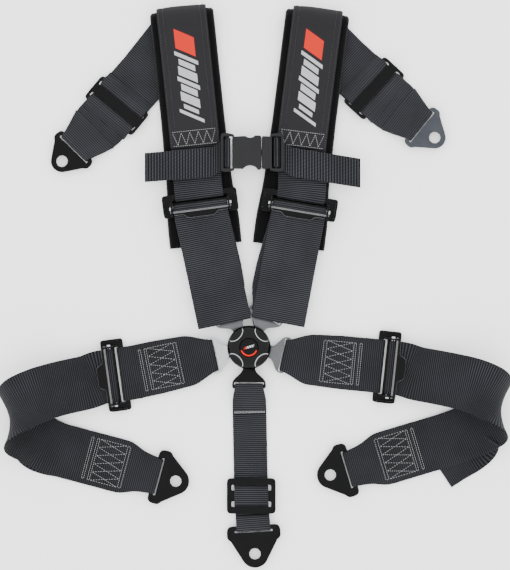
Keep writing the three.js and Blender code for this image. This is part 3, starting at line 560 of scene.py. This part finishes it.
def knob():
    """Height = the smaller of the dome and each scallop's ellipsoid floor, softened where they meet."""
    turn = np.linspace(0, 2 * math.pi, 145)[:-1]
    radii = np.concatenate([np.linspace(13.6, 30.6, 40)])
    r, a = np.meshgrid(radii, turn, indexing="ij")
    z = dome_height(r)
    for angle in np.radians(SCALLOPS):
        x = r * np.cos(a - angle) - 27.0
        y = r * np.sin(a - angle)
        inside = np.clip(1 - (x / 7.6) ** 2 - (y / 12.2) ** 2, 0, None)
        floor = 27.2 - 6.0 * np.sqrt(inside)
        rim = np.exp(-((np.sqrt((x / 7.6) ** 2 + (y / 12.2) ** 2) - 1.0) / 0.09) ** 2) * 0.45
        z = np.minimum(z, np.where(inside > 0, floor, 99)) + rim
    z = np.maximum(z, 17.2)
    top = np.stack([r * np.cos(a), r * np.sin(a), z], -1)

    def loop(radius, height):
        return np.stack([radius * np.cos(turn), radius * np.sin(turn), 0 * turn + height], -1)[None]

    bore = [loop(4.3, 23.7), loop(13.2, 23.7), loop(13.3, 25.4)]
    skirt = [loop(30.7, 16.8), loop(30.4, 15.9), loop(26.2, 15.9)]
    under = [loop(26.0, 20.2), loop(9.2, 20.2), loop(9.0, 15.95), loop(4.3, 15.95)]
    rings = np.concatenate([*bore, top, *skirt, *under])
    n, k = rings.shape[:2]
    i, j = np.meshgrid(np.arange(n), np.arange(k), indexing="ij")
    p, q = i * k + j, i * k + (j + 1) % k
    p2, q2 = ((i + 1) % n) * k + j, ((i + 1) % n) * k + (j + 1) % k
    faces = np.stack([p, q, q2, p2], -1).reshape(-1, 4).tolist()
    return new_object("rotary_knob_look", put(LOCK_AT, rings.reshape(-1, 3)), faces)


finish_piece(knob(), "knob", GLOSS, ["rotary_knob"])

radii = np.array([12.75, 12.85, 12.6, 12.0, 11, 9, 6, 3, 0.4])
heights = np.array([24.0, 24.9, 25.5, 25.85, 26.1, 26.4, 26.65, 26.78, 26.8])
turn = np.linspace(0, 2 * math.pi, 97)[:-1]
wide = radii[:, None]
rings = np.stack([wide * np.cos(turn), wide * np.sin(turn), heights[:, None] + 0 * turn], -1)
finish_piece(tube("knob_badge_look", put(LOCK_AT, rings)), "knob", badge_face(),
             ["knob_badge"])

# chrome rods round the scallops: a painted highlight along the scallop rims
paths = []
for angle in SCALLOPS:
    f = np.linspace(math.radians(62), math.radians(298), 40)
    x, y = 27.0 + 7.9 * np.cos(f), 12.5 * np.sin(f)
    z = dome_height(np.hypot(x, y)) + 0.15
    keep = np.hypot(x, y) < 30.0
    paths.append(put(place(0, 0, 0, angle, LOCK_AT), np.stack([x, y, z], 1)[keep]))


def rod(name, path, radius, sides=8):
    """A round bar along a path, its ends closed and drawn in."""
    path = np.asarray(path, float)
    along = np.gradient(path, axis=0)
    along /= np.linalg.norm(along, axis=1)[:, None]
    one = np.cross(along, [0, 0, 1.0])
    one /= np.linalg.norm(one, axis=1)[:, None]
    two = np.cross(one, along)
    a = np.arange(sides) * 2 * math.pi / sides
    r = np.full(len(path), radius)
    r[[0, -1]] *= 0.45
    c, s = np.cos(a)[None, :, None], np.sin(a)[None, :, None]
    rings = path[:, None] + r[:, None, None] * (c * one[:, None] + s * two[:, None])
    return tube(name, rings)


# each rim rod is chrome: a painted highlight on the knob's scallop edges
for i, path in enumerate(paths):
    finish_piece(rod(f"knob_scallop_painted_highlight_{i + 1}", path, 0.62), "knob", CHROME)

# ---- straps ----------------------------------------------------------------------------------------
SLOTS = {"right_lap": 347, "right_shoulder": 62, "left_shoulder": 120, "left_lap": 193}
TONGUE_BAR, LUG_Z, LUG_TURN, LUG_WEB, LUG_LEAD = 53.5, 8.3, 4.3, 45.0, 20.0


def tongue_lead(slot, spec, end):
    """Stations on webbing that leaves a tongue's bar square to it, then runs straight to the point end."""
    bx, by = on_circle(TONGUE_BAR, SLOTS[slot])
    dx, dy = LOCK[0] + bx - spec["x"], LOCK[1] + by - spec["y"]
    c, s = on_circle(1, -spec["heading"])
    start = np.array([dx * c - dy * s, dx * s + dy * c])
    out = SLOTS[slot] - spec["heading"]
    direction = np.array(on_circle(1, out))
    turn = out - 180 if out > 90 else out
    knee = start + direction * LUG_LEAD
    rest = np.array(end, float) - knee
    width = ramp(8, LUG_WEB, 34, WIDE)

    def station(distance, z):
        beyond = max(distance - LUG_LEAD, 0)
        p = start + direction * min(distance, LUG_LEAD) + rest * beyond / np.linalg.norm(rest)
        return (p[0], p[1], z, width(distance), turn if distance < LUG_LEAD else 0.0)

    return station, [station(a, z) for a, z in arc(0, LUG_Z, LUG_TURN, 280, 80, 12)]


def sewn_turn(z0, far_top, far_low):
    return [*far_top, (-22, 3.4 + z0), (-11, 3.4 + z0), *arc(-10.2, 1.1 + z0, 2.3, 70, -70, 10),
            (-11, -1.2 + z0), (-22, -1.2 + z0), *far_low]


def grip(z0):
    return arc(2, 7.4 + z0, 4.15, 270, 90, 12)


def mirrored(half):
    return half + [(-x, z) for x, z in half[-2::-1]]


# crotch strap
CROTCH = place(-5.3, -297, 0, 270, BASE)
LUG_X = -297 + 86.2 + 56
drift = ramp(LUG_X, -3.2, -30, -0.7)
crotch = Strap([
    *route([(LUG_X + 38.7, 3.3), (LUG_X + 26, 4.5), *arc(LUG_X, LUG_Z, LUG_TURN, 72, 288, 12),
            (LUG_X + 18, 2.2), (LUG_X + 30, 1.0), (-30, 1.0)],
           ramp(LUG_X + 4, 40, LUG_X + 12, CROTCH_WIDE), drift),
    (0, 0, 1, CROTCH_WIDE), (18, 1, 1, CROTCH_WIDE),
    *around_bar((45, 3, BRACKET_Z), 3.5, BRACKET_TURN, -98, 106, CROTCH_WIDE),
    (29, 1.8, 5.6, CROTCH_WIDE)], CROTCH)
weave_strap("crotch_strap_cloth", crotch, "lock", WEBBING, ["crotch_strap"])
CROTCH_TURN = mirrored([(-23, 2.4), (-20, 2.7), (-15.5, 2.9), (-12.6, 3.9), (-11.6, 5.9), (-10.5, 8),
                        (-8, 8.9), (0, 9.3)])
crotch_bridge = Strap(route(CROTCH_TURN, lambda x: CROTCH_WIDE), CROTCH, 1.0)
weave_strap("crotch_slide_cloth", crotch_bridge, "crotch_slide", WEBBING,
            ["crotch_slide_webbing"], thin_ends=True)

SPECS = {
    "left": dict(side=1, x=-77, y=115, heading=-82.5, pad_y=1.5, pad_turn=-1.6, tail=171.4, tail_turn=4.1,
                 slide=dict(x=-195.4, y=255.2, heading=227.3, turn=3, pad_end=-126)),
    "right": dict(side=-1, x=62.5, y=112, heading=-99.5, pad_y=-8, pad_turn=2.4, tail=166, tail_turn=-1.0,
                  slide=dict(x=168.4, y=279.6, heading=319, turn=-1.7, pad_end=-112)),
}
PAD_TOP, CURL, FRAME_Z = 263.0, 10.0, 12.2
SLIDE_TURN = mirrored([(-30.8, 2.63), (-25, 4.6), (-22.4, 7.4), (-20.3, 8.9), (-12.4, 8.9), (-10.9, 8.2),
                       (-10.3, 7), (-10.2, 5.3), (-9.4, 4.1), (-7.6, 3.5), (0, 3.4)])


def curl(distance, to, steps=10):
    return arc(-PAD_TOP, 17.2 - CURL, CURL + distance, 85, to, steps)


def box_of_rows(strap, s0, s1, half, lift, cycles=5):
    """Paths of a sewn box from length s0 to s1: two closed pairs of rows at s0, one pair at s1, its sides,
    and two crossing zigzags between them. The second list holds the lighter crossing lines."""
    def line(ends, n=40):
        (sa, ua), (sb, ub) = ends
        f = np.linspace(0, 1, n)
        return strap.point(sa + (sb - sa) * f, ua + (ub - ua) * f, np.full(n, lift))

    way = 1 if s1 > s0 else -1
    places = [s0, s0 + 3.2 * way, s0 + 8.4 * way, s0 + 11.6 * way, s1 - 4.4 * way, s1]
    rows = [((p, -half), (p, half)) for p in places]
    pairs = ((s0, places[1]), (places[2], places[3]), (places[4], s1))
    rows += [((a, e * half), (b, e * half)) for a, b in pairs for e in (-1, 1)]
    a, b = places[3] + way, places[4] - way
    knots = np.linspace(-half, half, cycles + 1)
    solid, dashed = [], [line(((a, e * half), (b, e * half))) for e in (-1, 1)]
    for k in range(cycles):
        ends = (a, b) if k % 2 == 0 else (b, a)
        (solid if k % 2 == 0 else dashed).append(line(((ends[0], knots[k]), (ends[1], knots[k + 1]))))
        dashed.append(line(((ends[1], knots[k]), (ends[0], knots[k + 1]))))
    return [line(r) for r in rows] + solid, dashed


def shoulder(name, spec):
    side = spec["side"]
    body = f"{name}_shoulder"
    at = place(spec["x"], spec["y"], 0, spec["heading"], BASE)
    pad_at = place(0, spec["pad_y"], 0, spec["pad_turn"], at)
    # padded layers
    base = Strap(route([(58, 4.4), (20, 4.6), (-30, 6.4), (-120, 7), (-215, 8.2), (-250, 12), *curl(0, 195)],
                       ramp(-40, 90, 0, 102)), pad_at, 2.5, 6, flip=True)
    pad(f"{name}_pad_body", base, body)
    cover = [(-82, 15.1), (-120, 15.1), (-215, 16.6), (-248, 21.2), *curl(8.4, 150, 8)]
    panel = Strap(route(cover, lambda x: 70.0), pad_at, 2.0, 4, flip=True)
    panel_piece(f"{name}_pad_panel_cloth", name, panel, body)
    lines = [panel.point(np.linspace(2, panel.length - 4, 160), u, 1.0) for u in (-32.8, -26.2, 26.2, 32.8)]
    stitches(f"{name}_pad_seams", lines, body, DARK_THREAD, 3.6, 2.7, 0.42)
    knots = np.linspace(-30, 30, 11)
    zig = np.array([(3.5 if k % 2 else 20.5, u) for k, u in enumerate(knots)])
    zigs = [panel.point(np.linspace(a[0], b[0], 12), np.linspace(a[1], b[1], 12), 1.2)
            for a, b in zip(zig[:-1], zig[1:])]
    straight = [panel.point(s, np.linspace(-31, 31, 40), 1.2) for s in (2.2, 22.4)]
    stitches(f"{name}_pad_zigzag", zigs + straight, body, WHITE_THREAD, 3.0, 2.6, 0.40)

    # webbing under the panel and round the adjuster's rear bar
    pad_line = lambda x: spec["pad_y"] + x * math.tan(math.radians(spec["pad_turn"]))
    into = ramp(-90, pad_line(-90), -26, 0)
    under = [(-232, 16.0), (-215, 14.2), (-120, 12.7), (-90, 12.7), (-40, 12.9)]
    web = Strap(route(sewn_turn(FRAME_Z, under, [(-28, 11.9)]),
                      lambda x: WIDE - 8, lambda x: pad_line(x) if x < -90 else into(x)), at)
    weave_strap(f"{name}_pad_strap_cloth", web, body, WEBBING,
                [f"{name}_pad_webbing"])

    # belt: tongue, adjuster, free tail
    station, loop = tongue_lead(f"{name}_shoulder", spec, (18, 0))
    slope = math.tan(math.radians(spec["tail_turn"]))
    tail_line = lambda x: max(x - 18, 0) * slope * (spec["tail"] / (spec["tail"] - 18))
    belt = Strap([station(68, 3.4), station(30, 4.2), *loop,
                  station(30, 7.4), station(72, 7.4), station(112, 11),
                  *route([(18, FRAME_Z + 3.25), *grip(FRAME_Z)], lambda x: WIDE),
                  *route([(7, FRAME_Z + 11.45), (20, FRAME_Z + 9.6), (40, FRAME_Z + 5.4), (70, 14.6),
                          (100, 12.4),
                          (130, 14.6), (spec["tail"], 15.8)], lambda x: WIDE, tail_line)], at)
    weave_strap(f"{name}_belt_cloth", belt, body, WEBBING,
                [f"{name}_belt"])

    # anchor strap, slide and its bridge
    slide = spec["slide"]
    at = place(slide["x"], slide["y"], 0, slide["heading"], BASE)
    bow = lambda x: -6 * side * (x / 120) ** 2
    width = ramp(48, WIDE, 76, 50)
    anchor = Strap([*route([(slide["pad_end"], 1), (-60, 1), (0, 1), (40, 1), (56, 1)], width, bow),
                    *around_bar((82, bow(82), BRACKET_Z), -2 * side, BRACKET_TURN, -98, 98, 50),
                    *route([(56, 4.6), (45, 3.3)], width, bow)], at)
    weave_strap(f"{name}_anchor_cloth", anchor, body, WEBBING, [f"{name}_anchor_strap"])
    bridge = Strap(route(SLIDE_TURN, lambda x: WIDE), place(0, 0, 0, slide["turn"], at), 1.0)
    weave_strap(f"{name}_slide_cloth", bridge, f"{name}_slide", WEBBING,
                [f"{name}_slide_webbing"], thin_ends=True)


def pad(name, strap, body):
    """Padded cover: the half thickness swells towards the middle between bound edges. Across, it is a
    rounded slab that dips beside the binding; low wide noise lets the cloth lie unevenly."""
    u = np.concatenate([np.linspace(-1, 1, 33), np.linspace(1, -1, 33)[1:-1]])
    face = np.concatenate([np.ones(33), -np.ones(31)])
    edge = np.clip(1 - np.abs(u) ** 14, 0, 1) ** 0.5
    bump_at = lambda place: np.exp(-((np.abs(u) - place) / 0.03) ** 2)
    binding = 0.10 * bump_at(0.95) - 0.16 * bump_at(0.86)
    t = face * 4.0 * (edge * (1 + binding))
    s = strap.s[:, None]
    ends = np.clip(np.minimum(s, strap.length - s) / 5, 0, 1)
    ends = 0.35 + 0.65 * np.sqrt(1 - (1 - ends) ** 2)
    ripple = 1 + 0.05 * np.sin(s / 11 + 3 * u) + 0.05 * np.sin(s / 17 - 5 * u + 1.3)
    places = np.broadcast_to(s, (len(strap.s), len(u)))
    rings = strap.point(places, strap.half[:, None] * u, t * ends * ripple)
    uv = np.stack(np.broadcast_arrays(strap.half[:, None] * u * MM, s * MM), -1)
    obj = finish_piece(tube(name, rings, uv), body, VELOUR, [f"{body.split('_')[0]}_pad_base"])
    return obj


def panel_piece(name, which, strap, body):
    """The smooth cover: a thin crowned sheet whose edges turn down, dimpled along its two seam lines."""
    u = np.concatenate([np.linspace(-1, 1, 41), np.linspace(1, -1, 41)[1:-1]])
    face = np.concatenate([np.ones(41), -np.ones(39)])
    edge = np.clip(1 - np.abs(u) ** 20, 0, 1) ** 0.5
    seam = -0.45 * sum(np.exp(-((np.abs(u) - c) / 0.02) ** 2) for c in (26.2 / 35, 32.8 / 35))
    s = strap.s[:, None]
    swell = np.clip((s - 24) / 30, 0, 1)  # flat where the chest strap slides over the lower end
    puff = 0.9 * swell * np.clip(1 - (u / 0.74) ** 2, 0, 1)
    t = np.where(face > 0, 1.1 * edge + seam + puff, -1.2 * edge)
    t = t + np.where(face > 0, 0.22 * swell * np.sin(s / 9 + 4 * u) * np.clip(1 - np.abs(u), 0, 1), 0)
    rings = strap.point(np.broadcast_to(s, (len(strap.s), len(u))), strap.half[:, None] * u, t)
    uv = np.stack(np.broadcast_arrays(-strap.half[:, None] * u * MM, s * MM), -1)
    obj = finish_piece(tube(name, rings, uv), body, NYLON, [f"{which}_pad_panel"])
    return obj


for name, spec in SPECS.items():
    shoulder(name, spec)

# chest strap
BUCKLE = place(-4, 187, 17.2, 0, BASE)


def chest(name, at, side, tail_x, tail_y, body, replaced):
    bar, step = 34.0, -13.0
    profile = [(tail_x, 2.3), (bar + 22, 2.3), (bar + 8, 2.3), (bar + 5, 2.7), (bar + 3.4, 4.7),
               *arc(bar, 7.4, 3.1, 0, 180, 12), (bar - 2.8, 3.6), (bar - 0.8, 1.2), (bar + 2.5, 0.4),
               (bar + 22, 0.4), (96, 0.4)]
    slope = (step - tail_y) / (bar + 22 - tail_x)
    rise = ramp(bar + 3, 0, bar + 22, step)
    sideways = lambda x: side * (tail_y + (x - tail_x) * slope if x >= bar + 22 else rise(x))
    strap = Strap(route(profile, lambda x: CHEST_WIDE, sideways, True), at, 1.4)
    weave_strap(name, strap, body, CHEST_WEBBING, [replaced])


chest("left_chest_cloth", place(0, 0, 0, 180, BUCKLE), -1, 150.8, -20.6, "left_shoulder", "left_chest_strap")
chest("right_chest_cloth", BUCKLE, 1, 152, -28.5, "chest_male", "right_chest_strap")

# lap belts
LAPS = {"left": dict(side=1, x=-199.2, y=-126.4, heading=187.8, reach=-14),
        "right": dict(side=-1, x=188.9, y=-114.9, heading=354, reach=-4)}
LAP_Z = 2.4
TAIL_LIFT, FLOOR_GAP = 2.1, 0.2  # free tail out from the belt; lowest webbing over the ground
BAR = (-38.7, 148.8, -22.7)


def lower_run(distance, z, width=WIDE):
    c, s = on_circle(1, BAR[2])
    return (BAR[0] + distance * c, BAR[1] + distance * s, z, width, BAR[2])


def outer_loop(reach):
    return [(116 + reach / 2, 83.5, 4.2, WIDE, -20), (139 + reach, 70, 11.3, WIDE, -12),
            (155 + reach, 57, 21, WIDE, -5), (161 + reach, 42, 33, WIDE, 0), (156 + reach, 28, 43, WIDE, 0),
            (142 + reach, 18, 49, WIDE, 0),
            (120 + reach, 11, 46, WIDE, 0), (95 + reach / 2, 8, 35, WIDE, 0), (66, 6, 21, WIDE, 0)]


TAILS = {"left": [(114, 86, 3.3, WIDE, -20), lower_run(132, 3.1), lower_run(109, 3.1)],
         "right": [(128, 95, 3.5, WIDE, -32), (102, 116, 3.1, WIDE, -38), (83.4, 131, 3.1, WIDE, -39)]}


def raised(stations, lift):
    """The same stations moved out of the band's upper face by lift."""
    strap = Strap(stations, np.eye(4), 4.0, 0, lift)
    widths = [s[3] for s in stations]
    heads = [s[4] for s in stations]
    k = np.linspace(0, len(stations) - 1, len(strap.s))
    index = np.arange(len(stations))
    return [(*c, float(np.interp(j, index, widths)), float(np.interp(j, index, heads)))
            for c, j in zip(strap.centre, k)]


def above(floor, stations):
    """Stations with their width and heading, and the height that the band's edges stay over."""
    return [(*s, 0, floor) if len(s) == 4 else (*s[:5], floor) for s in stations]


def lap(name, spec):
    side, body = spec["side"], f"{name}_lap"
    at = place(spec["x"], spec["y"], 0, spec["heading"], BASE)
    station, loop = tongue_lead(f"{name}_lap", spec, (-24, 0))
    link = Strap([station(80, 2.9), station(30, 5.0), *loop, station(30, 7.4), station(80, 5.2),
                  *route(sewn_turn(LAP_Z, [], [(-36, 1.2)]), lambda x: WIDE)], at)
    weave_strap(f"{name}_lap_connector_cloth", link, body, LAP_WEBBING,
                [f"{name}_lap_connector"])
    start = link.marks[2 + len(loop) + 2]  # where the upper layer reaches the adjuster, 22 mm from its centre
    solid, dashed = box_of_rows(link, start - 18, start - 73, 29.5, STITCH_LIFT)
    stitches(f"{name}_lap_connector_stitching", solid, body, WHITE_THREAD, pitch=2.9, length=2.5, radius=0.36)
    stitches(f"{name}_lap_connector_cross_stitching", dashed, body, WHITE_THREAD,
             pitch=3.6, length=2.9, radius=0.36)

    turn = [lower_run(d, z, 50) for d, z in arc(0, BRACKET_Z, BRACKET_TURN, 278, 82, 12)]
    reach = spec["reach"]
    run = smooth([lower_run(141, 3.1), *outer_loop(reach), (38, 4, 9.5, WIDE, 0), (18, 0, 5.9, WIDE, 0)], 90)
    roll = [(x, 0, z, WIDE, 0) for x, z in grip(LAP_Z)]
    tail = raised(smooth([(7, 0, 11.8, WIDE, 0), (20, 0, 11.6, WIDE, 0), (38, 4, 12.6, WIDE, 0),
                          *outer_loop(reach)[:0:-1], *TAILS[name]], 90), TAIL_LIFT)
    first = [lower_run(104, 1), lower_run(44, 1), lower_run(24, 1, 58), *turn,
             lower_run(24, 5.4, 58), lower_run(44, 3.3), lower_run(104, 3.1)]
    both = [*above(NO_FLOOR, first), *above(TAIL_LIFT + FLOOR_GAP, run), *above(NO_FLOOR, roll),
            *above(FLOOR_GAP, tail)]
    belt = Strap([(x, side * y, z, w, side * h, False, floor) for x, y, z, w, h, floor in both], at, 1.8, 3)
    weave_strap(f"{name}_lap_belt_cloth", belt, body, LAP_WEBBING, [f"{name}_lap_belt"])
    bar_end = belt.marks[3 + len(turn) + 1]  # 44 mm from the bracket's bar, on the upper layer
    solid, dashed = box_of_rows(belt, bar_end + 57, bar_end, 30, STITCH_LIFT)
    stitches(f"{name}_lap_belt_stitching", solid, body, WHITE_THREAD, pitch=2.9, length=2.5, radius=0.36)
    stitches(f"{name}_lap_belt_cross_stitching", dashed, body, WHITE_THREAD,
             pitch=3.6, length=2.9, radius=0.36)
    hem = [belt.point(np.full(30, belt.length - d), np.linspace(-36, 36, 30), STITCH_LIFT) for d in (5, 18)]
    stitches(f"{name}_lap_tail_hem", hem, body, DARK_THREAD)


for name, spec in LAPS.items():
    lap(name, spec)

# white bar tack on the crotch strap's folded end
tack = [crotch.point(np.full(20, d), np.linspace(-22, 22, 20), -STITCH_LIFT) for d in (1.6, 3.2)]
stitches("crotch_fold_tack", tack, "lock", WHITE_THREAD, pitch=2.0, length=1.9, radius=0.6)

# ---- floor, light and camera -------------------------------------------------------------------------
FLOOR_HALF, FLOOR_Z = 3000.0, -1.5
corners = [(x * FLOOR_HALF, y * FLOOR_HALF, FLOOR_Z) for x, y in ((-1, -1), (1, -1), (1, 1), (-1, 1))]
floor = new_object("floor", corners, [[0, 1, 2, 3]])
ground = Paint("floor_paper", Specular_IOR_Level=0.1)
ground.color(ground.mix(ground.noise(3.0), (0.93, 0.93, 0.93), (0.96, 0.96, 0.96)))
ground.rough(0.9 + ground.noise(20.0) * 0.05)
floor.data.materials.append(ground.mat)

world = bpy.data.worlds.new("studio")
bpy.context.scene.world = world
world.use_nodes = True
world.node_tree.nodes["Background"].inputs[0].default_value = (1, 1, 1, 1)
world.node_tree.nodes["Background"].inputs[1].default_value = 3.2


def soft_light(name, spot, target, wide, power):
    data = bpy.data.lights.new(name, "AREA")
    data.shape, data.size, data.energy = "SQUARE", wide, power
    lamp = bpy.data.objects.new(name, data)
    bpy.context.scene.collection.objects.link(lamp)
    lamp.location = spot
    way = np.array(target, float) - np.array(spot, float)
    lamp.rotation_euler = (math.atan2(math.hypot(way[0], way[1]), -way[2]), 0, math.atan2(way[0], -way[1]))


soft_light("upper_left", (-1.5, 1.5, 1.5), (0, 0, 0), 1.3, 400)
soft_light("upper_right", (1.7, 0.9, 1.3), (0, 0, 0), 1.1, 280)
soft_light("lower_left", (-1.6, -1.2, 1.4), (0, 0, 0), 1.3, 250)
soft_light("lower_right", (1.3, -1.6, 1.5), (0, 0, 0), 1.3, 230)

VIEW_HEIGHT, LENS, SENSOR = 0.809, 85.0, 36.0  # height of the picture in metres, then millimetres
CAMERA_UP = 0.0014  # metres towards the shoulders
camera_data = bpy.data.cameras.new("camera")
camera_data.lens, camera_data.sensor_width = LENS, SENSOR
camera = bpy.data.objects.new("camera", camera_data)
bpy.context.scene.collection.objects.link(camera)
lock_x, lock_y, lock_z = (float(c) * MM for c in SHIFT)
camera.location = (lock_x, lock_y + CAMERA_UP, VIEW_HEIGHT * LENS / SENSOR + lock_z)
bpy.context.scene.camera = camera
